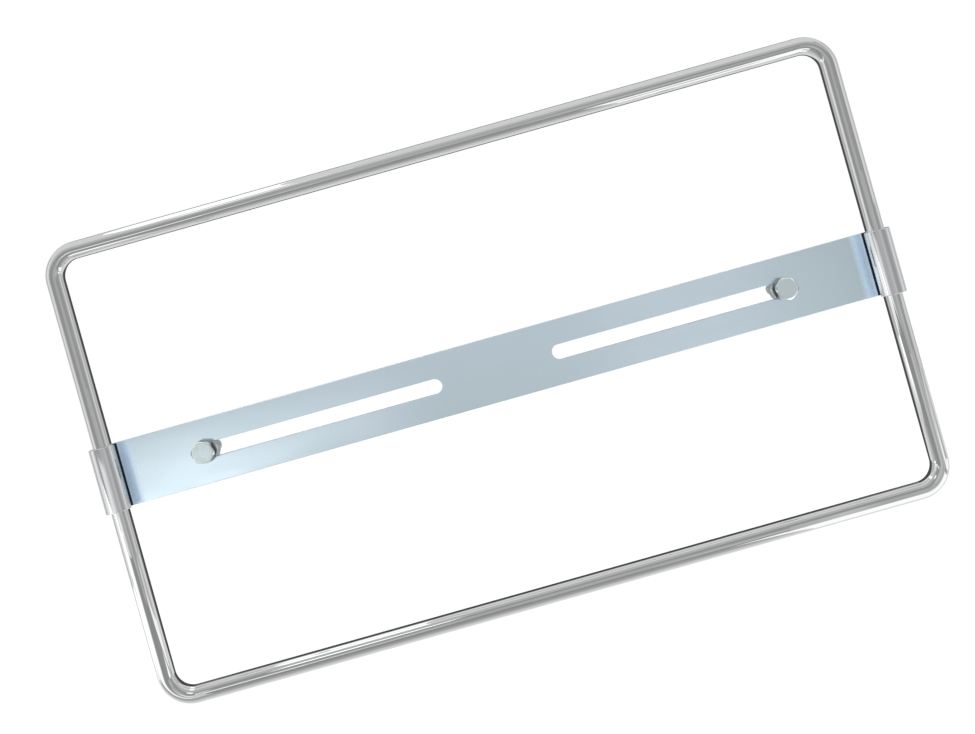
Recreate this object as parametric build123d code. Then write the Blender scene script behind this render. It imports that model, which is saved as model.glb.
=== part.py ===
from build123d import *

import os
from math import radians, sqrt, tan

# Number plate holder: a bent rod frame, held in the rolled ends of a slotted strap, with two bolts and nuts.
# Millimetres. X runs to the right seen from the front, Z runs up and the front faces -Y.
# The origin is the middle of the strap's rear face, which goes against the vehicle.

# Frame: a round rod bent into a closed rectangle
rod_diameter = 8.0
opening_width = 358.0
opening_height = 202.0
inner_bend_radius = 8.0

# Strap: flat bar across the middle, its ends rolled round the side rods
strap_width = 30.0
strap_thickness = 2.0
strap_edge_chamfer = 0.3
wrap_angle = 260.0
grip_clearance = 0.05

# Slots: to the centres of their round ends, from the middle and from the side rod's axis
slot_inner_centre = 30.0
slot_end_margin = 43.0

# Bolts and nuts
bolt_diameter = 6.0
slot_clearance = 1.0
bolt_length = 16.0
bolt_tip_chamfer = 0.8
head_across_flats = 10.0
head_height = 4.0
nut_across_flats = 10.0
nut_height = 5.0
thread_clearance = 0.05
nut_countersink = 0.5
hex_chamfer_angle = 30.0
hex_face_share = 0.95

# How the fasteners sit: the right bolt is short of its slot's end, and each hexagon is turned a little
right_bolt_inset = 2.5
left_head_turn = 8.0
right_head_turn = 22.0
left_nut_turn = 8.0
right_nut_turn = -13.0

# Values that follow from the sizes above
rod_radius = rod_diameter / 2
rod_centre_x = opening_width / 2 + rod_radius
rod_centre_z = opening_height / 2 + rod_radius
rod_centre_y = -(strap_thickness + grip_clearance + rod_radius)
roll_radius = rod_radius + grip_clearance + strap_thickness / 2
slot_width = bolt_diameter + slot_clearance
slot_outer_centre = rod_centre_x - slot_end_margin
slot_middle = (slot_inner_centre + slot_outer_centre) / 2
slot_travel = slot_outer_centre - slot_inner_centre
strap_front = -strap_thickness


def bent_rod():
    """The frame: one round section carried along a rectangle with rounded corners."""
    loop = RectangleRounded(2 * rod_centre_x, 2 * rod_centre_z, inner_bend_radius + rod_radius)
    path = (Plane.XZ.offset(-rod_centre_y) * loop).wire()
    section = Plane(path @ 0, z_dir=path % 0) * Circle(rod_radius)
    return sweep(section, path)


def rolled_strap():
    """The crossbar: a flat bar rolled round both side rods, with a slot each side of the middle."""
    flat = Line((-rod_centre_x, -strap_thickness / 2), (rod_centre_x, -strap_thickness / 2))
    left_roll = CenterArc((-rod_centre_x, rod_centre_y), roll_radius, 90, wrap_angle)
    right_roll = CenterArc((rod_centre_x, rod_centre_y), roll_radius, 90, -wrap_angle)
    profile = trace([left_roll, flat, right_roll], strap_thickness)
    strap = extrude(profile, strap_width / 2, both=True)
    ends = strap.faces().filter_by(Axis.Z)
    strap = chamfer(ends.edges(), strap_edge_chamfer)
    slot = SlotCenterToCenter(slot_travel, slot_width)
    for side in (-1, 1):
        strap -= extrude(Plane.XZ * Pos(side * slot_middle, 0) * slot, 2 * strap_thickness, both=True)
    return strap


def hexagon(across_flats, height, both_ends):
    """A hex prism up from the origin, its corners turned off at the top and, if asked, at the bottom too."""
    corner_radius = across_flats / sqrt(3)
    face_radius = hex_face_share * across_flats / 2
    drop = (corner_radius - face_radius) * tan(radians(hex_chamfer_angle))
    bottom = [(face_radius, 0), (corner_radius, drop)] if both_ends else [(corner_radius, 0)]
    top = [(corner_radius, height - drop), (face_radius, height)]
    outline = Polyline((0, 0), *bottom, *top, (0, height), close=True)
    turned = revolve(Plane.XZ * make_face(outline), Axis.Z)
    return turned & extrude(RegularPolygon(corner_radius, 6), height)


def hex_bolt(turn):
    """A hex head bolt on the Z axis: head above the seat at z 0, shank below it."""
    radius = bolt_diameter / 2
    shank = Pos(0, 0, -bolt_length) * extrude(Circle(radius), bolt_length)
    shank = chamfer(shank.edges().sort_by(Axis.Z)[0], bolt_tip_chamfer)
    head = Rot(0, 0, turn) * hexagon(head_across_flats, head_height, both_ends=False)
    return head + shank


def hex_nut(turn):
    """A hex nut on the Z axis: its seat at z 0 and its body below it."""
    bore_radius = bolt_diameter / 2 + thread_clearance
    body = hexagon(nut_across_flats, nut_height, both_ends=True)
    body -= extrude(Circle(bore_radius), nut_height)
    rims = body.edges().filter_by(GeomType.CIRCLE).sort_by(SortBy.RADIUS)[:2]
    body = chamfer(rims, nut_countersink)
    return Rot(0, 0, turn) * Pos(0, 0, -nut_height) * body


def on_strap(piece, x, y):
    """Sets a piece made along Z on the strap, its top towards the front."""
    return Pos(x, y, 0) * Rot(90, 0, 0) * piece


left_bolt_x = -slot_outer_centre
right_bolt_x = slot_outer_centre - right_bolt_inset

parts = {
    "plate_frame": bent_rod(),
    "crossbar": rolled_strap(),
    "left_bolt": on_strap(hex_bolt(left_head_turn), left_bolt_x, strap_front),
    "right_bolt": on_strap(hex_bolt(right_head_turn), right_bolt_x, strap_front),
    "left_nut": on_strap(hex_nut(left_nut_turn), left_bolt_x, 0),
    "right_nut": on_strap(hex_nut(right_nut_turn), right_bolt_x, 0),
}

os.makedirs("parts", exist_ok=True)
for name, piece in parts.items():
    export_step(piece, f"parts/{name}.step")
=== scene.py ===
"""Looks of a number plate holder: a chrome rod frame, a zinc plated strap and bolts, on a white sweep."""

import logging
import math
from dataclasses import dataclass
from enum import Enum

import bpy
from mathutils import Matrix, Vector

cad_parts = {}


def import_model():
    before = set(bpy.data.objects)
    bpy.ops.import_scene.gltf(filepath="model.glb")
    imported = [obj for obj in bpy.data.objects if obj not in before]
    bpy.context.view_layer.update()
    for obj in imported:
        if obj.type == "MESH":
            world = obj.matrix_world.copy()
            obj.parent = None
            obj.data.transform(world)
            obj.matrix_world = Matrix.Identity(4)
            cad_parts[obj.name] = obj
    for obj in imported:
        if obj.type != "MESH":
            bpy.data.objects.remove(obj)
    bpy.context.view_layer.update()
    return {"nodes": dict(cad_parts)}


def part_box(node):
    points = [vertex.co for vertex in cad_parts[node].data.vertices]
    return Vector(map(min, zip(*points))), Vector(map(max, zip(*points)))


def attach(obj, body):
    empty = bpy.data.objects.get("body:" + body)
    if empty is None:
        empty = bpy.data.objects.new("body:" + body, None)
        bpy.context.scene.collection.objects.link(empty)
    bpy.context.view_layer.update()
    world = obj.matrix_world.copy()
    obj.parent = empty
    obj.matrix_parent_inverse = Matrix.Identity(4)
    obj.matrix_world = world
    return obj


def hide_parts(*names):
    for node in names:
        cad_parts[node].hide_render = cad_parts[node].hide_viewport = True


LOG = logging.getLogger("plate_holder")
MM = 0.001

Piece = bpy.types.Object
Tree = bpy.types.NodeTree
Socket = bpy.types.NodeSocket
Material = bpy.types.Material
Pair = tuple[float, float]
Triple = tuple[float, float, float]
RGBA = tuple[float, float, float, float]


class Body(Enum):
    """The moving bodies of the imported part."""

    HOLDER = "holder"
    LEFT_FASTENER = "left_fastener"
    RIGHT_FASTENER = "right_fastener"


def edit_mode() -> None:
    """Starts to edit the mesh of the active object."""
    bpy.ops.object.mode_set(mode="EDIT")


def object_mode() -> None:
    """Ends the editing of a mesh."""
    bpy.ops.object.mode_set(mode="OBJECT")


def deselect_all() -> None:
    """Leaves edit mode and deselects every object."""
    if bpy.context.mode != "OBJECT":
        object_mode()
    bpy.ops.object.select_all(action="DESELECT")


def make_active(piece: Piece) -> None:
    """Selects one object alone and makes it the active one."""
    deselect_all()
    piece.select_set(True)
    bpy.context.view_layer.objects.active = piece


def settle(name: str) -> Piece:
    """Names the primitive that was just added and moves its place into its mesh.

    Args:
        name: the name for the object and its mesh.

    Returns:
        The object, now unturned and unscaled at the origin.
    """
    piece = bpy.context.active_object
    piece.name = name
    piece.data.name = name
    bpy.ops.object.transform_apply(location=True, rotation=True, scale=True)
    return piece


def apply_modifier(piece: Piece, kind: str, **settings: object) -> None:
    """Adds a modifier to a piece and applies it at once.

    Args:
        piece: the object to change.
        kind: the modifier's type name.
        settings: values for the modifier's own properties.
    """
    make_active(piece)
    modifier = piece.modifiers.new(kind.title(), kind)
    for key, value in settings.items():
        setattr(modifier, key, value)
    bpy.ops.object.modifier_apply(modifier=modifier.name)


def discard(piece: Piece) -> None:
    """Removes a piece that has done its work, with its mesh."""
    mesh = piece.data
    bpy.data.objects.remove(piece)
    bpy.data.meshes.remove(mesh)


def combine(piece: Piece, tool: Piece, operation: str) -> None:
    """Runs a boolean on a piece and removes the tool that it was run with.

    Args:
        piece: the object that is changed.
        tool: the object that cuts, joins or limits it.
        operation: DIFFERENCE, UNION or INTERSECT.
    """
    apply_modifier(piece, "BOOLEAN", object=tool, operation=operation, solver="EXACT")
    discard(tool)


def face_outwards(piece: Piece, within: float = 0.0005 * MM) -> None:
    """Merges doubled points, removes faces without area and turns every face outwards.

    Args:
        piece: the object to change.
        within: distance below which two points count as one.
    """
    make_active(piece)
    edit_mode()
    bpy.ops.mesh.select_all(action="SELECT")
    bpy.ops.mesh.remove_doubles(threshold=within)
    bpy.ops.mesh.dissolve_degenerate(threshold=within)
    bpy.ops.mesh.normals_make_consistent(inside=False)
    object_mode()


def round_edges(piece: Piece, width: float, steps: int, degrees: float) -> None:
    """Rounds the sharp edges of a piece.

    Args:
        piece: the object to change.
        width: how far the rounding reaches to each side of an edge.
        steps: steps across the rounding.
        degrees: angle from which an edge counts as sharp.
    """
    apply_modifier(
        piece,
        "BEVEL",
        width=width,
        segments=steps,
        limit_method="ANGLE",
        angle_limit=math.radians(degrees),
    )
    face_outwards(piece)


def smooth(piece: Piece, degrees: float) -> None:
    """Shades a piece smooth except across edges sharper than an angle, with its flat faces kept flat."""
    make_active(piece)
    bpy.ops.object.shade_smooth_by_angle(angle=math.radians(degrees))
    apply_modifier(piece, "WEIGHTED_NORMAL", mode="FACE_AREA", weight=100, keep_sharp=True)


class PlatingGrain:
    """Shader node group for the faint cloudiness and ripple of a plated surface."""

    NAME = "Plating grain"
    CLOUD_DETAIL = 4.0
    RIPPLE_DETAIL = 1.0
    CLOUD_RANGE = (0.3, 0.7)

    @classmethod
    def tree(cls) -> Tree:
        """Returns the group, built the first time that it is asked for.

        Returns:
            A node group that turns a place on the surface into a roughness and a height.
        """
        if cls.NAME in bpy.data.node_groups:
            return bpy.data.node_groups[cls.NAME]
        tree = bpy.data.node_groups.new(cls.NAME, "ShaderNodeTree")
        sockets = tree.interface
        sockets.new_socket(name="Vector", in_out="INPUT", socket_type="NodeSocketVector")
        for name in ("Cloud scale", "Ripple scale", "Smoothest", "Roughest"):
            sockets.new_socket(name=name, in_out="INPUT", socket_type="NodeSocketFloat")
        for name in ("Roughness", "Height"):
            sockets.new_socket(name=name, in_out="OUTPUT", socket_type="NodeSocketFloat")
        nodes, links = tree.nodes, tree.links
        inlet = nodes.new("NodeGroupInput")
        outlet = nodes.new("NodeGroupOutput")
        cloud = nodes.new("ShaderNodeTexNoise")
        cloud.inputs["Detail"].default_value = cls.CLOUD_DETAIL
        ripple = nodes.new("ShaderNodeTexNoise")
        ripple.inputs["Detail"].default_value = cls.RIPPLE_DETAIL
        spread = nodes.new("ShaderNodeMapRange")
        spread.inputs["From Min"].default_value = cls.CLOUD_RANGE[0]
        spread.inputs["From Max"].default_value = cls.CLOUD_RANGE[1]
        links.new(inlet.outputs["Vector"], cloud.inputs["Vector"])
        links.new(inlet.outputs["Cloud scale"], cloud.inputs["Scale"])
        links.new(inlet.outputs["Vector"], ripple.inputs["Vector"])
        links.new(inlet.outputs["Ripple scale"], ripple.inputs["Scale"])
        links.new(cloud.outputs["Fac"], spread.inputs["Value"])
        links.new(inlet.outputs["Smoothest"], spread.inputs["To Min"])
        links.new(inlet.outputs["Roughest"], spread.inputs["To Max"])
        links.new(spread.outputs["Result"], outlet.inputs["Roughness"])
        links.new(ripple.outputs["Fac"], outlet.inputs["Height"])
        return tree


@dataclass(frozen=True)
class MetalFinish:
    """A plated metal finish.

    Attributes:
        name: the material's name; a piece's main finish is named as its slot in the record.
        colour: linear colour of the reflection seen head-on.
        smoothest: lowest roughness over the surface.
        roughest: highest roughness over the surface.
        cloud_scale: how many clouds of roughness fit in a metre.
        ripple_scale: how many ripples fit in a metre.
        ripple_height: depth of the ripples in metres.
        stretch: how much longer the grain is along X.
        metallic: how metallic it is; duller plating is below 1.
    """

    name: str
    colour: Triple
    smoothest: float
    roughest: float
    cloud_scale: float
    ripple_scale: float
    ripple_height: float
    stretch: float = 1.0
    metallic: float = 1.0

    def material(self) -> Material:
        """Returns the finish as a material, built the first time that it is asked for."""
        if self.name in bpy.data.materials and bpy.data.materials[self.name].get("dressed"):
            return bpy.data.materials[self.name]
        return self.build()

    def build(self) -> Material:
        """Builds the finish as a material.

        Returns:
            A metal whose roughness and ripple follow the plating grain group.
        """
        material = bpy.data.materials.new(self.name)
        material["dressed"] = True
        material.use_nodes = True
        nodes, links = material.node_tree.nodes, material.node_tree.links
        metal = nodes["Principled BSDF"]
        metal.inputs["Base Color"].default_value = (*self.colour, 1.0)
        metal.inputs["Metallic"].default_value = self.metallic
        place = nodes.new("ShaderNodeTexCoord")
        mapping = nodes.new("ShaderNodeMapping")
        mapping.inputs["Scale"].default_value = (1.0 / self.stretch, 1.0, 1.0)
        grain = nodes.new("ShaderNodeGroup")
        grain.node_tree = PlatingGrain.tree()
        grain.inputs["Cloud scale"].default_value = self.cloud_scale
        grain.inputs["Ripple scale"].default_value = self.ripple_scale
        grain.inputs["Smoothest"].default_value = self.smoothest
        grain.inputs["Roughest"].default_value = self.roughest
        bump = nodes.new("ShaderNodeBump")
        bump.inputs["Distance"].default_value = self.ripple_height
        links.new(place.outputs["Object"], mapping.inputs["Vector"])
        links.new(mapping.outputs["Vector"], grain.inputs["Vector"])
        links.new(grain.outputs["Roughness"], metal.inputs["Roughness"])
        links.new(grain.outputs["Height"], bump.inputs["Height"])
        links.new(bump.outputs["Normal"], metal.inputs["Normal"])
        return material

    def dress(self, piece: Piece) -> None:
        """Gives a piece this finish in its only material slot."""
        piece.data.materials.clear()
        piece.data.materials.append(self.material())


@dataclass(frozen=True)
class StrapFinish(MetalFinish):
    """Plating of the strap's flat, with a smoother, less metallic band beside each roll whose colour is a
    painted sheen.

    Attributes:
        painted_sheen_colour: linear colour in the bands, a painted sheen that stands in for the rolls'
            reflection.
        end_colour: linear colour where the rolls begin.
        band_roughness: roughness in the bands.
        band_metallic: how much the bands reflect as bare metal.
        band_start: distances from the middle between which a band sets in.
        ending: distances from the middle between which it gives way to the rolls' finish.
    """

    painted_sheen_colour: Triple = (0.56, 0.71, 0.88)
    end_colour: Triple = (0.6, 0.6, 0.6)
    band_roughness: float = 0.16
    band_metallic: float = 0.2
    band_start: Pair = (171.5 * MM, 175.0 * MM)
    ending: Pair = (178.5 * MM, 182.5 * MM)

    @staticmethod
    def rise(tree: Tree, distance: Socket, reach: Pair) -> Socket:
        """Adds a smooth rise from 0 to 1 between two distances.

        Args:
            tree: the node tree of the material.
            distance: the socket that gives the distance.
            reach: where the rise begins and where it is complete.

        Returns:
            The socket that gives the rise.
        """
        step = tree.nodes.new("ShaderNodeMapRange")
        step.interpolation_type = "SMOOTHSTEP"
        step.inputs["From Min"].default_value = reach[0]
        step.inputs["From Max"].default_value = reach[1]
        tree.links.new(distance, step.inputs["Value"])
        return step.outputs["Result"]

    @staticmethod
    def tinted(tree: Tree, colours: tuple, share: Socket) -> bpy.types.Node:
        """Adds a mix of two colours.

        Args:
            tree: the node tree of the material.
            colours: the colour at share 0 and the colour at share 1.
            share: the socket that gives the share.

        Returns:
            The mix node.
        """
        mix = tree.nodes.new("ShaderNodeMix")
        mix.data_type = "RGBA"
        for socket, colour in zip("AB", colours):
            mix.inputs[socket].default_value = (*colour, 1.0)
        tree.links.new(share, mix.inputs["Factor"])
        return mix

    def build(self) -> Material:
        """Builds the finish as a material that follows the distance from the strap's middle.

        Returns:
            A metal with the flat's tint along the strap, a painted sheen in the bands beside the rolls and
            the rolls' tint there.
        """
        material = super().build()
        tree = material.node_tree
        nodes, links = tree.nodes, tree.links
        metal = nodes["Principled BSDF"]
        place = nodes.new("ShaderNodeTexCoord")
        parts = nodes.new("ShaderNodeSeparateXYZ")
        out = nodes.new("ShaderNodeMath")
        out.operation = "ABSOLUTE"
        links.new(place.outputs["Object"], parts.inputs["Vector"])
        links.new(parts.outputs["X"], out.inputs[0])
        distance = out.outputs["Value"]
        in_band = self.rise(tree, distance, self.band_start)
        polish = nodes.new("ShaderNodeMix")
        polish.inputs["B"].default_value = self.band_roughness
        links.new(in_band, polish.inputs["Factor"])
        links.new(metal.inputs["Roughness"].links[0].from_socket, polish.inputs["A"])
        links.new(polish.outputs["Result"], metal.inputs["Roughness"])
        # painted sheen: in each band the metal gives way to the bluish band colour, which stands in for the
        # rolls' reflection
        band_dulling = nodes.new("ShaderNodeMix")
        band_dulling.inputs["A"].default_value = self.metallic
        band_dulling.inputs["B"].default_value = self.band_metallic
        links.new(in_band, band_dulling.inputs["Factor"])
        links.new(band_dulling.outputs["Result"], metal.inputs["Metallic"])
        near = self.tinted(tree, (self.colour, self.painted_sheen_colour), in_band)
        far = self.tinted(tree, (self.painted_sheen_colour, self.end_colour), self.rise(tree, distance, self.ending))
        links.new(near.outputs["Result"], far.inputs["A"])
        links.new(far.outputs["Result"], metal.inputs["Base Color"])
        return material


ROLL_TINT = (0.62, 0.63, 0.64)
CHROME = MetalFinish("chrome_rod", (0.60, 0.61, 0.605), 0.015, 0.03, 40.0, 60.0, 2e-6)
STRAP_ZINC = StrapFinish(
    "zinc_strap", (0.725, 0.86, 0.945), 0.20, 0.26, 90.0, 70.0, 3e-6, stretch=4.0, end_colour=ROLL_TINT
)
ROLL_ZINC = MetalFinish("zinc_roll", ROLL_TINT, 0.06, 0.10, 90.0, 70.0, 3e-6)
SHEARED_ZINC = MetalFinish("zinc_sheared_edge", (0.70, 0.76, 0.80), 0.42, 0.55, 500.0, 900.0, 6e-6)
# painted shade: nearly black, dull metal inside each roll and on the flat under it, where shade falls
RECESS_PAINTED_SHADE = MetalFinish("zinc_recess_painted_shade", (0.045, 0.055, 0.075), 0.45, 0.60, 400.0, 300.0, 4e-6)
REAR_ZINC = MetalFinish(
    "zinc_rear", (0.72, 0.78, 0.82), 0.28, 0.36, 90.0, 70.0, 3e-6, stretch=4.0, metallic=0.45
)
BOLT_ZINC = MetalFinish("zinc_bolt", (0.60, 0.69, 0.70), 0.18, 0.30, 400.0, 300.0, 4e-6, metallic=0.75)
# painted highlight: the turned rim of a bolt head is smoother and lighter than its face
RIM_PAINTED_HIGHLIGHT = MetalFinish("zinc_rim_painted_highlight", (0.76, 0.81, 0.82), 0.12, 0.20, 400.0, 300.0, 4e-6)
# painted shade: the side flats of a bolt head are darker than its face, standing in for the shade beside
# the head
FLATS_PAINTED_SHADE = MetalFinish("zinc_flats_painted_shade", (0.40, 0.44, 0.46), 0.25, 0.35, 400.0, 300.0, 4e-6)
NUT_ZINC = MetalFinish("zinc_nut", (0.70, 0.73, 0.74), 0.28, 0.40, 400.0, 300.0, 4e-6, metallic=0.5)


@dataclass(frozen=True)
class HexShape:
    """A hexagon with its corners turned off, as on bolt heads and nuts.

    Attributes:
        across_flats: distance between opposite flats.
        height: length along the axis.
        face_share: width of the round face as a share of the distance across flats.
        corner_slope: angle of the turned corners to the face, in degrees.
        edge_round: how far the rounding of the sharp edges reaches.
        edge_steps: steps across a rounded edge.
        edge_angle: angle from which an edge counts as sharp, in degrees.
        corner_round: how far the rounding of the six upright edges reaches.
        corner_steps: steps round each upright edge.
        face_points: points round each turned corner cone.
        seam: distance below which the points that cutting leaves are merged.
        smooth_angle: angle up to which the shading runs on over an edge, in degrees.
    """

    across_flats: float = 10.0 * MM
    height: float = 4.0 * MM
    face_share: float = 0.9
    corner_slope: float = 30.0
    edge_round: float = 0.2 * MM
    edge_steps: int = 2
    edge_angle: float = 24.0
    corner_round: float = 1.1 * MM
    corner_steps: int = 4
    face_points: int = 96
    seam: float = 0.01 * MM
    smooth_angle: float = 28.0

    def turned_cone(self, points_up: bool) -> Piece:
        """Adds the cone that limits the corners at one end.

        Args:
            points_up: True for the cone that narrows towards the top.

        Returns:
            A cone round the Z axis, as tall as the hexagon.
        """
        face = self.face_share * self.across_flats / 2
        wide = face + self.height / math.tan(math.radians(self.corner_slope))
        deselect_all()
        bpy.ops.mesh.primitive_cone_add(
            vertices=self.face_points,
            radius1=wide if points_up else face,
            radius2=face if points_up else wide,
            depth=self.height,
            location=(0, 0, self.height / 2),
        )
        return settle("corner_cone")

    def build(self, name: str, both_ends: bool) -> Piece:
        """Models the hexagon up from the origin, with a corner on the X axis.

        Args:
            name: the name of the new object.
            both_ends: True to turn the corners off at the bottom as well as the top.

        Returns:
            The hexagon as a closed mesh.
        """
        deselect_all()
        bpy.ops.mesh.primitive_cylinder_add(
            vertices=6,
            radius=self.across_flats / math.sqrt(3),
            depth=self.height,
            location=(0, 0, self.height / 2),
            rotation=(0, 0, math.pi / 6),
        )
        block = settle(name)
        self.round_corners(block)
        combine(block, self.turned_cone(points_up=True), "INTERSECT")
        if both_ends:
            combine(block, self.turned_cone(points_up=False), "INTERSECT")
        return block

    def round_corners(self, block: Piece) -> None:
        """Rounds the upright edges of a plain hexagon."""
        make_active(block)
        edit_mode()
        bpy.ops.mesh.select_mode(type="EDGE")
        bpy.ops.mesh.select_all(action="DESELECT")
        object_mode()
        points = block.data.vertices
        for edge in block.data.edges:
            rise = points[edge.vertices[0]].co.z - points[edge.vertices[1]].co.z
            edge.select = abs(rise) > self.height / 2
        edit_mode()
        bpy.ops.mesh.bevel(offset=self.corner_round, segments=self.corner_steps)
        bpy.ops.mesh.select_mode(type="VERT")
        object_mode()

    def break_edges(self, piece: Piece) -> None:
        """Rounds the sharp edges of a hexagon a little."""
        face_outwards(piece, self.seam)
        round_edges(piece, self.edge_round, self.edge_steps, self.edge_angle)


@dataclass(frozen=True)
class HexBolt:
    """A hex head bolt with a thread all along its shank.

    Attributes:
        head: shape of the head.
        length: length under the head.
        crest_radius: outside radius of the thread.
        root_radius: inside radius of the thread.
        pitch: advance of the thread in one turn.
        flank_angle: angle of the thread's flanks, in degrees.
        crest_share: width of the thread's crest as a share of the pitch.
        tip_chamfer: how far the tip is turned down.
        turn_steps: steps in one turn of the thread.
        spare_turns: turns beyond the shank's ends, which are cut off.
        weld: distance below which the points of neighbouring turns are merged.
        cut_slack: distance within which a point counts as lying on a cut.
    """

    head: HexShape = HexShape()
    length: float = 16.0 * MM
    crest_radius: float = 2.98 * MM
    root_radius: float = 2.42 * MM
    pitch: float = 1.0 * MM
    flank_angle: float = 30.0
    crest_share: float = 0.125
    tip_chamfer: float = 0.8 * MM
    turn_steps: int = 40
    spare_turns: int = 4
    weld: float = 0.001 * MM
    cut_slack: float = 0.0001 * MM

    def thread_section(self) -> Piece:
        """Draws one tooth of the thread as a line beside the Z axis.

        Returns:
            A chain of edges that is one pitch tall and starts a pitch below the tip.
        """
        deselect_all()
        bpy.ops.mesh.primitive_plane_add(
            size=self.pitch, location=(self.root_radius, 0, -self.length - self.pitch)
        )
        line = settle("thread_section")
        depth = self.crest_radius - self.root_radius
        flank = depth * math.tan(math.radians(self.flank_angle))
        crest = self.pitch * self.crest_share
        root = self.pitch - 2 * flank - crest
        edit_mode()
        bpy.ops.mesh.merge(type="CENTER")
        for step in ((depth, flank), (0, crest), (-depth, flank), (0, root)):
            move = {"value": (step[0], 0, step[1])}
            bpy.ops.mesh.extrude_vertices_move(TRANSFORM_OT_translate=move)
        object_mode()
        return line

    def turn_down_tip(self, shank: Piece) -> None:
        """Draws the thread in to a cone at the tip."""
        for vertex in shank.data.vertices:
            above_tip = vertex.co.z + self.length
            reach = self.crest_radius - max(0.0, self.tip_chamfer - above_tip)
            radius = math.hypot(vertex.co.x, vertex.co.y)
            if radius > reach:
                vertex.co.x *= reach / radius
                vertex.co.y *= reach / radius

    def shank(self) -> Piece:
        """Models the threaded shank below the head's seat at z 0.

        Returns:
            The shank as a closed mesh that runs a little into the head.
        """
        shank = self.thread_section()
        turns = math.ceil(self.length / self.pitch) + self.spare_turns
        apply_modifier(
            shank,
            "SCREW",
            axis="Z",
            screw_offset=self.pitch,
            iterations=turns,
            steps=self.turn_steps,
            render_steps=self.turn_steps,
            use_merge_vertices=True,
            merge_threshold=self.weld,
        )
        make_active(shank)
        edit_mode()
        for level, ends in ((-self.length, {"clear_inner": True}), (self.pitch, {"clear_outer": True})):
            bpy.ops.mesh.select_all(action="SELECT")
            bpy.ops.mesh.bisect(
                plane_co=(0, 0, level), plane_no=(0, 0, 1), use_fill=True, threshold=self.cut_slack, **ends
            )
        object_mode()
        self.turn_down_tip(shank)
        face_outwards(shank)
        return shank

    def build(self) -> Piece:
        """Models the bolt on the Z axis, its head above z 0.

        Returns:
            The bolt as one closed mesh.
        """
        bolt = self.head.build("threaded_bolt", both_ends=False)
        self.head.break_edges(bolt)
        combine(bolt, self.shank(), "UNION")
        smooth(bolt, self.head.smooth_angle)
        return bolt


@dataclass(frozen=True)
class HexNut:
    """A hex nut with countersunk ends.

    Attributes:
        body: shape of the outside.
        bore_radius: radius of the bore.
        countersink: how far the bore opens out at each end.
        proud: how far a countersinking tool stands out of the nut.
        bore_points: points round the bore.
    """

    body: HexShape = HexShape(height=5.0 * MM, face_share=0.95)
    bore_radius: float = 3.05 * MM
    countersink: float = 0.5 * MM
    proud: float = 0.2 * MM
    bore_points: int = 64

    def countersink_tool(self, at_top: bool) -> Piece:
        """Adds the cone that opens out one end of the bore.

        Args:
            at_top: True for the end at the nut's full height.

        Returns:
            A cone round the Z axis that stands a little proud of that end.
        """
        narrow = self.bore_radius - self.proud
        wide = self.bore_radius + self.countersink + self.proud
        middle = -self.countersink / 2
        deselect_all()
        bpy.ops.mesh.primitive_cone_add(
            vertices=self.bore_points,
            radius1=narrow if at_top else wide,
            radius2=wide if at_top else narrow,
            depth=self.countersink + 2 * self.proud,
            location=(0, 0, self.body.height + middle if at_top else -middle),
        )
        return settle("countersink_tool")

    def build(self) -> Piece:
        """Models the nut up from the origin on the Z axis.

        Returns:
            The nut as one closed mesh.
        """
        nut = self.body.build("hex_nut", both_ends=True)
        deselect_all()
        bpy.ops.mesh.primitive_cylinder_add(
            vertices=self.bore_points,
            radius=self.bore_radius,
            depth=2 * self.body.height,
            location=(0, 0, self.body.height / 2),
        )
        combine(nut, settle("bore_tool"), "DIFFERENCE")
        for at_top in (False, True):
            combine(nut, self.countersink_tool(at_top), "DIFFERENCE")
        self.body.break_edges(nut)
        smooth(nut, self.body.smooth_angle)
        return nut


@dataclass(frozen=True)
class FastenerPlace:
    """Where one bolt and nut sit on the strap.

    Attributes:
        side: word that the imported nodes' names start with.
        body: the body that the pair moves with.
        head_turn: angle from +X up to a corner of the head, in degrees.
        nut_turn: angle from +X up to a corner of the nut, in degrees.
    """

    side: str
    body: Body
    head_turn: float
    nut_turn: float


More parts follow.
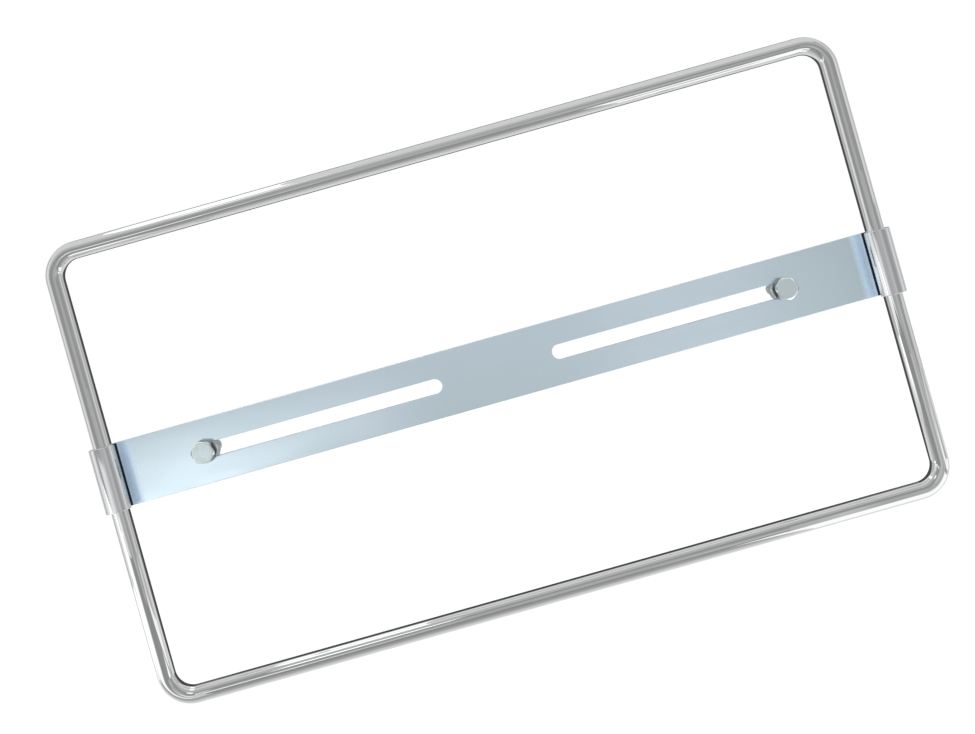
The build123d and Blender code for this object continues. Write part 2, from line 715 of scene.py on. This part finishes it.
class Fasteners:
    """The two bolts and nuts, modelled once and copied to their places, just clear of the strap."""

    CLEARANCE = Vector((0.0, 0.02 * MM, 0.0))
    SEAT_SLACK = 0.01 * MM
    FACE_LEAN = 0.97
    RIM_LEAN = 0.3
    PLACES = (
        FastenerPlace("left", Body.LEFT_FASTENER, 48.0, 8.0),
        FastenerPlace("right", Body.RIGHT_FASTENER, 44.0, -13.0),
    )

    def __init__(self) -> None:
        """Models the first bolt and the first nut."""
        self.bolt = HexBolt()
        self.first_bolt = self.bolt.build()
        self.first_nut = HexNut().build()

    @staticmethod
    def copy_to(model: Piece, name: str, seat: Vector, turn: float) -> Piece:
        """Copies a model from the Z axis to its place, its top towards the front.

        Args:
            model: the piece modelled on the Z axis.
            name: the name for the copy.
            seat: where the model's origin goes.
            turn: turn about the axis in degrees.

        Returns:
            The copy, with its own mesh and its place in the mesh.
        """
        make_active(model)
        bpy.ops.object.duplicate(linked=False)
        copy = bpy.context.active_object
        upright = Matrix.Rotation(math.pi / 2, 4, "X") @ Matrix.Rotation(math.radians(turn), 4, "Z")
        copy.matrix_world = Matrix.Translation(seat) @ upright
        return settle(name)

    def finish_head(self, bolt: Piece, seat: Vector) -> None:
        """Gives the turned rim of a head in its place a painted highlight and its flats painted shade, in
        finishes of their own.

        Args:
            bolt: the bolt, already dressed.
            seat: where the head meets the strap.
        """
        # painted highlight on the turned rim, painted shade on the side flats
        slots = {"face": 0, "rim": 1, "flats": 2}
        for finish in (RIM_PAINTED_HIGHLIGHT, FLATS_PAINTED_SHADE):
            bolt.data.materials.append(finish.material())
        for face in bolt.data.polygons:
            lean = -face.normal.y
            if face.center.y > seat.y - self.SEAT_SLACK or lean > self.FACE_LEAN:
                face.material_index = slots["face"]
            else:
                face.material_index = slots["rim" if lean > self.RIM_LEAN else "flats"]

    def build(self) -> None:
        """Puts the copies in place of the plain nodes and removes the models."""
        for place in self.PLACES:
            bolt_low, bolt_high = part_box(f"{place.side}_bolt")
            nut_low, nut_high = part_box(f"{place.side}_nut")
            axis = (bolt_low + bolt_high) / 2
            seat = Vector((axis.x, bolt_low.y + self.bolt.head.height, axis.z)) - self.CLEARANCE
            bolt = self.copy_to(self.first_bolt, f"{place.side}_threaded_bolt", seat, place.head_turn)
            back = Vector((axis.x, nut_high.y, axis.z)) + self.CLEARANCE
            nut = self.copy_to(self.first_nut, f"{place.side}_hex_nut", back, place.nut_turn)
            for piece, finish, node in ((bolt, BOLT_ZINC, "bolt"), (nut, NUT_ZINC, "nut")):
                finish.dress(piece)
                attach(piece, place.body.value)
                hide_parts(f"{place.side}_{node}")
            self.finish_head(bolt, seat)
            LOG.info("%s bolt and nut in place", place.side)
        for model in (self.first_bolt, self.first_nut):
            discard(model)


class PlateFrame:
    """The bent rod frame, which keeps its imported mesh."""

    NODE = "plate_frame"

    def dress(self, nodes: dict[str, Piece]) -> None:
        """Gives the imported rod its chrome.

        Args:
            nodes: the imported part's nodes by name.
        """
        CHROME.dress(nodes[self.NODE])
        LOG.info("%s dressed", self.NODE)


@dataclass(frozen=True)
class RolledStrap:
    """The slotted strap, its ends rolled round the side rods.

    Attributes:
        width: height of the strap.
        thickness: thickness of the sheet.
        rod_x: distance of each side rod's axis from the middle.
        rod_y: depth of the rods' axes.
        wrap_angle: how far each end is rolled, in degrees.
        recess: how far in from the rod's axis the flat runs under each roll, where it is painted dark as
            shade.
        slot_inner: distance from the middle to the centre of a slot's inner end.
        slot_outer: distance from the middle to the centre of a slot's outer end.
        slot_width: width of the slots.
        edge_round: how far the rounding of the sheared edges reaches.
        edge_steps: steps across a rounded edge.
        edge_angle: angle from which an edge counts as sheared, in degrees.
        roll_steps: steps round each roll.
        slot_points: points round the two ends of a slot.
        end_slack: distance within which a point counts as lying at the flat's end.
        rolled_depth: depth behind the rods' axes up to which the metal is rolled.
        broad_lean: how far a face leans towards the front or rear before it counts as sheared.
        smooth_angle: angle up to which the shading runs on over an edge, in degrees.
    """

    width: float = 30.0 * MM
    thickness: float = 2.0 * MM
    rod_x: float = 183.0 * MM
    rod_y: float = -6.05 * MM
    wrap_angle: float = 260.0
    recess: float = 4.45 * MM
    slot_inner: float = 30.0 * MM
    slot_outer: float = 140.0 * MM
    slot_width: float = 7.0 * MM
    edge_round: float = 0.3 * MM
    edge_steps: int = 3
    edge_angle: float = 50.0
    roll_steps: int = 72
    slot_points: int = 66
    end_slack: float = 0.01 * MM
    rolled_depth: float = 1.6 * MM
    broad_lean: float = 0.8
    smooth_angle: float = 38.0

    def roll_end(self, sheet: Piece, side: int) -> None:
        """Extends one end of the middle surface under its rod and spins it round.

        Args:
            sheet: the middle surface of the strap.
            side: -1 for the left end, 1 for the right end.
        """
        edge = side * (self.rod_x - self.recess)
        object_mode()
        for vertex in sheet.data.vertices:
            vertex.select = abs(vertex.co.x - edge) < self.end_slack
        edit_mode()
        bpy.ops.mesh.extrude_edges_move(TRANSFORM_OT_translate={"value": (side * self.recess, 0, 0)})
        bpy.ops.mesh.spin(
            steps=self.roll_steps,
            angle=side * math.radians(self.wrap_angle),
            center=(side * self.rod_x, self.rod_y, 0),
            axis=(0, 0, 1),
        )
        bpy.ops.mesh.select_all(action="DESELECT")

    def sheet(self) -> Piece:
        """Models the strap as a bent sheet without its slots.

        Returns:
            The strap as a closed mesh with square edges.
        """
        deselect_all()
        bpy.ops.mesh.primitive_plane_add(
            size=1.0, location=(0, -self.thickness / 2, 0), rotation=(math.pi / 2, 0, 0)
        )
        sheet = settle("rolled_strap")
        edit_mode()
        bpy.ops.transform.resize(value=(2 * (self.rod_x - self.recess), 1.0, self.width))
        bpy.ops.mesh.select_mode(type="VERT")
        bpy.ops.mesh.select_all(action="DESELECT")
        for side in (-1, 1):
            self.roll_end(sheet, side)
        apply_modifier(sheet, "SOLIDIFY", thickness=self.thickness, offset=0.0, use_even_offset=True)
        face_outwards(sheet)
        return sheet

    def slot_tool(self, side: int) -> Piece:
        """Models the punch for one slot: a round bar pulled out sideways.

        Args:
            side: -1 for the left slot, 1 for the right slot.

        Returns:
            A closed bar with the slot's outline.
        """
        deselect_all()
        start = side * self.slot_inner
        bpy.ops.mesh.primitive_cylinder_add(
            vertices=self.slot_points,
            radius=self.slot_width / 2,
            depth=5 * self.thickness,
            location=(start, 0, 0),
            rotation=(math.pi / 2, math.pi / 2, 0),
        )
        tool = settle("slot_tool")
        edit_mode()
        bpy.ops.mesh.select_mode(type="VERT")
        bpy.ops.mesh.select_all(action="DESELECT")
        object_mode()
        for vertex in tool.data.vertices:
            vertex.select = side * (vertex.co.x - start) > 0
        edit_mode()
        travel = side * (self.slot_outer - self.slot_inner)
        bpy.ops.transform.translate(value=(travel, 0, 0))
        object_mode()
        return tool

    def face_finish(self, face: bpy.types.MeshPolygon) -> MetalFinish:
        """Says which finish a face of the strap takes.

        Args:
            face: a face before its edges are rounded.

        Returns:
            The plating of the front, the rear, a roll or a sheared edge, or the painted shade inside a roll
            and on the flat under it.
        """
        from_rod = Vector((abs(face.center.x) - self.rod_x, face.center.y - self.rod_y, 0.0))
        outwards = Vector((math.copysign(face.normal.x, face.normal.x * face.center.x), face.normal.y, 0.0))
        rolled = from_rod.x > 0 or from_rod.y < self.rolled_depth
        across = from_rod.normalized() if rolled else Vector((0.0, 1.0, 0.0))
        lean = outwards.dot(across)
        if abs(lean) < self.broad_lean:
            return SHEARED_ZINC
        # painted shade: the inside of a roll and the flat under it take the nearly black finish
        under_roll = not rolled and lean < 0 and from_rod.x > -self.recess - self.end_slack
        if (rolled and lean < 0) or under_roll:
            return RECESS_PAINTED_SHADE
        if rolled:
            return ROLL_ZINC
        return STRAP_ZINC if lean < 0 else REAR_ZINC

    def build(self) -> None:
        """Puts the finished strap in place of the plain node."""
        strap = self.sheet()
        for side in (-1, 1):
            combine(strap, self.slot_tool(side), "DIFFERENCE")
        finishes = (STRAP_ZINC, REAR_ZINC, ROLL_ZINC, SHEARED_ZINC, RECESS_PAINTED_SHADE)
        strap.data.materials.clear()
        for finish in finishes:
            strap.data.materials.append(finish.material())
        for face in strap.data.polygons:
            face.material_index = finishes.index(self.face_finish(face))
        round_edges(strap, self.edge_round, self.edge_steps, self.edge_angle)
        smooth(strap, self.smooth_angle)
        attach(strap, Body.HOLDER.value)
        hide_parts("crossbar")
        LOG.info("strap with %d faces", len(strap.data.polygons))


class Fade(Enum):
    """How the brightness of a card changes over it."""

    ROUND = "from the middle out"
    SIDEWAYS = "from the edge at -X to the edge at +X"
    UPWARDS = "from the bottom edge to the top edge, or from rear to front on a card that faces up"


class Facing(Enum):
    """The axes along which a card turns to the holder's middle."""

    MIDDLE = (True, True, True)
    ALONG_X = (True, False, False)
    ALONG_Y = (False, True, False)
    ALONG_Z = (False, False, True)


def grey(level: float) -> RGBA:
    """Returns an opaque grey of a brightness."""
    return (level, level, level, 1.0)


def even(level: float) -> tuple[Pair, ...]:
    """Returns the levels of a card that is equally bright all over."""
    return ((0.0, level),)


@dataclass(frozen=True)
class Card:
    """A flat reflector or flag that only reflections see.

    Attributes:
        name: the card's name.
        place: middle of the card, in metres.
        size: width and height in metres.
        levels: pairs of a distance, as a share of the way that the card fades, and a brightness.
        fade: the way that the card fades.
        faces: the way that the card faces.
        droop: how far below that it aims, in metres.
    """

    name: str
    place: Triple
    size: Pair
    levels: tuple[Pair, ...]
    fade: Fade = Fade.ROUND
    faces: Facing = Facing.ALONG_Y
    droop: float = 0.0

    def distance(self, tree: Tree) -> Socket:
        """Adds the nodes that measure how far a point is along the way that the card fades.

        Args:
            tree: the node tree of the card's material.

        Returns:
            The socket that gives the distance as a share.
        """
        nodes, links = tree.nodes, tree.links
        place = nodes.new("ShaderNodeTexCoord")
        share = nodes.new("ShaderNodeMath")
        share.operation = "MULTIPLY_ADD"
        if self.fade is Fade.ROUND:
            measure = nodes.new("ShaderNodeVectorMath")
            measure.operation = "LENGTH"
            links.new(measure.outputs["Value"], share.inputs[0])
            share.inputs[1].default_value = 2.0 / self.size[0]
            share.inputs[2].default_value = 0.0
        else:
            measure = nodes.new("ShaderNodeSeparateXYZ")
            sideways = self.fade is Fade.SIDEWAYS
            links.new(measure.outputs["X" if sideways else "Y"], share.inputs[0])
            share.inputs[1].default_value = -1.0 / self.size[0] if sideways else 1.0 / self.size[1]
            share.inputs[2].default_value = 0.5
        links.new(place.outputs["Object"], measure.inputs[0])
        return share.outputs["Value"]

    def material(self) -> Material:
        """Builds the card's glow.

        Returns:
            An emission material.
        """
        material = bpy.data.materials.new(self.name)
        material.use_nodes = True
        material.cycles.emission_sampling = "NONE"
        nodes, links = material.node_tree.nodes, material.node_tree.links
        nodes.clear()
        ramp = nodes.new("ShaderNodeValToRGB")
        ramp.color_ramp.interpolation = "EASE"
        stops = ramp.color_ramp.elements
        while len(stops) < len(self.levels):
            stops.new(0.5)
        if len(stops) > len(self.levels):
            stops.remove(stops[1])
        for stop, (distance, level) in zip(stops, self.levels):
            stop.position = distance
            stop.color = grey(level)
        glow = nodes.new("ShaderNodeEmission")
        outlet = nodes.new("ShaderNodeOutputMaterial")
        links.new(self.distance(material.node_tree), ramp.inputs["Fac"])
        links.new(ramp.outputs["Color"], glow.inputs["Color"])
        links.new(glow.outputs["Emission"], outlet.inputs["Surface"])
        return material

    def build(self) -> None:
        """Adds the card, seen only in reflections."""
        deselect_all()
        bpy.ops.mesh.primitive_plane_add(size=1.0)
        card = bpy.context.active_object
        card.name = self.name
        card.data.transform(Matrix.Diagonal((*self.size, 1.0, 1.0)))
        card.location = self.place
        card.rotation_mode = "QUATERNION"
        aim = Vector([0.0 if turned else part for part, turned in zip(self.place, self.faces.value)])
        aim.z -= self.droop
        card.rotation_quaternion = (aim - Vector(self.place)).to_track_quat("Z", "Y")
        card.data.materials.append(self.material())
        card.visible_camera = False
        card.visible_diffuse = False
        card.visible_transmission = False
        card.visible_shadow = False


class Studio:
    """A white sweep: pale floor, white surroundings, a soft lamp and cards for the metal to reflect."""

    FLOOR_DROP = 0.25
    FLOOR_SIZE = 12.0
    FLOOR_PAINT = 0.25
    FLOOR_GLOW = 0.82
    AMBIENT = 0.8
    LAMP_PLACE = Vector((-0.4, -0.6, 1.4))
    LAMP_SIZE = 1.2
    LAMP_WATTS = 14.0
    CARDS = (
        Card(
            "front_card",
            (0.0, -0.9, 0.0),
            (4.0, 4.0),
            ((0.0, 0.66), (0.06, 0.63), (0.1, 0.62), (0.14, 0.57), (0.2, 0.47), (0.4, 0.45))
            + ((0.52, 0.47), (0.65, 0.6), (0.78, 0.72), (0.88, 0.9), (0.97, 1.1)),
        ),
        Card(
            "right_glow",
            (0.29, -0.85, -0.12),
            (0.5, 0.34),
            ((0.0, 0.74), (0.3, 0.73), (0.95, 0.58)),
            faces=Facing.MIDDLE,
        ),
        Card("right_shade", (0.66, -0.86, -0.1), (0.3, 0.6), even(0.5)),
        Card(
            "rear_flag",
            (0.0, 0.6, -0.05),
            (3.2, 1.7),
            ((0.0, 1.0), (0.2, 0.8), (0.3, 0.4), (0.38, 0.1))
            + ((0.62, 0.1), (0.7, 0.4), (0.8, 0.8), (1.0, 1.0)),
            Fade.SIDEWAYS,
        ),
        Card("left_bar", (-1.5, -0.35, 0.0), (0.5, 2.0), even(1.2), faces=Facing.ALONG_X),
        Card(
            "right_wall",
            (1.2, -0.65, 0.0),
            (0.7, 2.0),
            ((0.0, 0.52), (0.5, 0.58), (1.0, 0.9)),
            Fade.SIDEWAYS,
            Facing.ALONG_X,
        ),
        Card("left_rear", (-1.5, 0.4, 0.0), (0.7, 2.0), even(0.7), faces=Facing.ALONG_X),
        Card("right_rear", (1.5, 0.4, 0.0), (0.7, 2.0), even(0.7), faces=Facing.ALONG_X),
        Card("high_bar", (0.0, -0.23, 0.2), (0.9, 0.22), even(0.7), faces=Facing.ALONG_Z),
        Card("upper_wall", (0.0, -0.88, 1.2), (3.6, 0.8), even(0.95)),
        Card("low_bar", (0.0, -0.88, -0.3), (1.6, 0.14), even(0.4)),
        Card(
            "apron",
            (0.0, -0.45, -0.35),
            (3.0, 0.95),
            ((0.05, 1.0), (0.13, 0.86), (0.24, 0.63), (0.34, 0.55), (0.45, 0.5), (0.7, 0.45), (1.0, 0.42)),
            Fade.UPWARDS,
            Facing.ALONG_Z,
        ),
        Card(
            "low_left_softbox",
            (-0.805, -0.5, -0.1475),
            (0.49, 0.105),
            ((0.0, 2.0), (1.0, 1.7)),
            Fade.SIDEWAYS,
        ),
        Card(
            "low_left_glow",
            (-0.305, -0.5, -0.195),
            (0.51, 0.33),
            ((0.0, 1.06), (0.27, 1.1), (0.36, 1.24), (0.53, 1.09), (0.73, 0.84), (1.0, 0.57)),
            Fade.SIDEWAYS,
            droop=0.005,
        ),
        Card(
            "left_rod_softbox",
            (-0.31, -0.12, -0.105),
            (0.19, 0.12),
            ((0.8, 1.75), (1.0, 0.9)),
            Fade.SIDEWAYS,
        ),
        Card("left_rod_glow", (-0.45, -0.12, 0.095), (0.24, 0.15), even(1.0)),
        Card("right_rod_glow", (0.45, -0.12, 0.095), (0.24, 0.15), even(1.05)),
        Card("right_rod_low_glow", (0.45, -0.12, -0.11), (0.24, 0.12), even(0.9)),
        Card(
            "right_rod_fill",
            (0.195, -0.12, -0.118),
            (0.11, 0.104),
            ((0.1, 0.72), (0.3, 0.82), (0.57, 0.62), (0.9, 0.74)),
            Fade.SIDEWAYS,
        ),
        Card("low_left_strip", (-0.345, -0.497, -0.11), (0.15, 0.04), even(1.5)),
        Card("low_left_shade", (-0.295, -0.495, -0.245), (0.53, 0.23), even(0.42)),
        Card("high_left_softbox", (-0.315, -0.02, 0.75), (0.23, 0.76), even(1.8), faces=Facing.ALONG_Z),
        Card("front_left_softbox", (-0.32, -0.8, 0.62), (0.3, 0.4), even(2.0), faces=Facing.MIDDLE),
        Card("low_right_softbox", (0.36, -0.25, -0.34), (0.34, 0.5), even(1.6), faces=Facing.ALONG_Z),
        Card("low_right_glow", (0.95, -0.68, -0.345), (0.7, 0.45), even(1.0), faces=Facing.ALONG_Z),
        Card(
            "left_floor_softbox",
            (-1.125, -0.16, -0.345),
            (0.75, 0.62),
            ((0.5, 1.9), (1.0, 0.95)),
            Fade.SIDEWAYS,
            Facing.ALONG_Z,
        ),
        Card("right_floor_softbox", (0.73, -0.325, -0.343), (0.26, 0.65), even(1.5), faces=Facing.ALONG_Z),
    )

    def white_world(self) -> None:
        """Makes the surroundings white to the camera and to metal, and a little dimmer as light."""
        world = bpy.data.worlds.new("white_sweep")
        bpy.context.scene.world = world
        world.use_nodes = True
        nodes, links = world.node_tree.nodes, world.node_tree.links
        nodes.clear()
        path = nodes.new("ShaderNodeLightPath")
        seen = nodes.new("ShaderNodeMath")
        seen.operation = "MAXIMUM"
        white = nodes.new("ShaderNodeBackground")
        white.inputs["Color"].default_value = grey(1.0)
        ambient = nodes.new("ShaderNodeBackground")
        ambient.inputs["Color"].default_value = grey(self.AMBIENT)
        pick = nodes.new("ShaderNodeMixShader")
        outlet = nodes.new("ShaderNodeOutputWorld")
        links.new(path.outputs["Is Camera Ray"], seen.inputs[0])
        links.new(path.outputs["Is Glossy Ray"], seen.inputs[1])
        links.new(seen.outputs["Value"], pick.inputs["Fac"])
        links.new(ambient.outputs["Background"], pick.inputs[1])
        links.new(white.outputs["Background"], pick.inputs[2])
        links.new(pick.outputs["Shader"], outlet.inputs["Surface"])

    def floor_material(self) -> Material:
        """Builds the floor's white, which glows a little and still takes shadows.

        Returns:
            A material that is clear from below.
        """
        material = bpy.data.materials.new("pale_floor")
        material.use_nodes = True
        material.cycles.emission_sampling = "NONE"
        nodes, links = material.node_tree.nodes, material.node_tree.links
        nodes.clear()
        paint = nodes.new("ShaderNodeBsdfDiffuse")
        paint.inputs["Color"].default_value = grey(self.FLOOR_PAINT)
        glow = nodes.new("ShaderNodeEmission")
        glow.inputs["Color"].default_value = grey(self.FLOOR_GLOW)
        blend = nodes.new("ShaderNodeAddShader")
        clear = nodes.new("ShaderNodeBsdfTransparent")
        facing = nodes.new("ShaderNodeNewGeometry")
        one_sided = nodes.new("ShaderNodeMixShader")
        outlet = nodes.new("ShaderNodeOutputMaterial")
        links.new(paint.outputs["BSDF"], blend.inputs[0])
        links.new(glow.outputs["Emission"], blend.inputs[1])
        links.new(facing.outputs["Backfacing"], one_sided.inputs["Fac"])
        links.new(blend.outputs["Shader"], one_sided.inputs[1])
        links.new(clear.outputs["BSDF"], one_sided.inputs[2])
        links.new(one_sided.outputs["Shader"], outlet.inputs["Surface"])
        return material

    def floor(self, height: float) -> None:
        """Adds the pale floor below the holder.

        Args:
            height: level of the floor in metres.
        """
        deselect_all()
        bpy.ops.mesh.primitive_plane_add(size=self.FLOOR_SIZE, location=(0, 0, height))
        floor = settle("pale_floor")
        floor.data.materials.append(self.floor_material())

    def overhead_lamp(self) -> None:
        """Adds the soft square lamp that faces the holder."""
        light = bpy.data.lights.new("overhead_lamp", "AREA")
        light.size = self.LAMP_SIZE
        light.energy = self.LAMP_WATTS
        lamp = bpy.data.objects.new("overhead_lamp", light)
        lamp.location = self.LAMP_PLACE
        lamp.rotation_mode = "QUATERNION"
        lamp.rotation_quaternion = (-self.LAMP_PLACE).to_track_quat("-Z", "Y")
        lamp.visible_glossy = False
        bpy.context.collection.objects.link(lamp)

    def build(self, low: Vector) -> None:
        """Sets up the whole studio.

        Args:
            low: lowest corner of the holder.
        """
        bpy.context.scene.view_settings.view_transform = "Standard"
        self.white_world()
        self.floor(low.z - self.FLOOR_DROP)
        for card in self.CARDS:
            card.build()
        self.overhead_lamp()
        LOG.info("studio with %d cards", len(self.CARDS))


@dataclass(frozen=True)
class PhotoCamera:
    """The photograph's camera: straight on to the frame, rolled, and a little above its middle.

    Attributes:
        width_px: width of the photograph.
        height_px: height of the photograph.
        focal_px: focal length in pixels.
        scale_px: pixels for each millimetre in the plane of the rod's axis.
        roll: how far the frame's right end is raised, in degrees.
        centre_px: where the middle of the frame shows.
        lens_above: height of the lens above the middle of the frame.
        sensor_width: width of the sensor in millimetres.
        clip: nearest and farthest distance that the camera sees.
    """

    width_px: float = 975.0
    height_px: float = 734.0
    focal_px: float = 790.0
    scale_px: float = 2.191
    roll: float = 15.69
    centre_px: Pair = (497.5, 370.2)
    lens_above: float = 40.0 * MM
    sensor_width: float = 36.0
    clip: Pair = (0.01, 50.0)

    def build(self, frame_middle: Vector) -> None:
        """Adds the camera and makes it the scene's own.

        Args:
            frame_middle: middle of the rod frame, in the plane of the rod's axis.
        """
        roll = math.radians(self.roll)
        up = Vector((math.sin(roll), 0.0, math.cos(roll)))
        right = Vector((math.cos(roll), 0.0, -math.sin(roll)))
        distance = self.focal_px / self.scale_px * MM
        lens = frame_middle + Vector((0.0, -distance, self.lens_above))
        offset = frame_middle - lens
        middle_px = self.scale_px / MM * Vector((offset.dot(right), offset.dot(up)))
        data = bpy.data.cameras.new("photo_camera")
        data.sensor_fit = "HORIZONTAL"
        data.sensor_width = self.sensor_width
        data.lens = self.focal_px / self.width_px * data.sensor_width
        data.shift_x = (middle_px.x - (self.centre_px[0] - self.width_px / 2)) / self.width_px
        data.shift_y = (middle_px.y + (self.centre_px[1] - self.height_px / 2)) / self.width_px
        data.clip_start, data.clip_end = self.clip
        camera = bpy.data.objects.new("photo_camera", data)
        turn = Matrix((right, up, Vector((0.0, -1.0, 0.0)))).transposed()
        camera.matrix_world = Matrix.Translation(lens) @ turn.to_4x4()
        bpy.context.collection.objects.link(camera)
        bpy.context.scene.camera = camera


def main() -> None:
    """Loads the part, dresses it, lights it and sets the camera."""
    logging.basicConfig(level=logging.INFO, format="%(name)s: %(message)s")
    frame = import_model()
    PlateFrame().dress(frame["nodes"])
    RolledStrap().build()
    Fasteners().build()
    low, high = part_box("plate_frame")
    PhotoCamera().build((low + high) / 2)
    Studio().build(low)


if __name__ == "__main__":
    main()
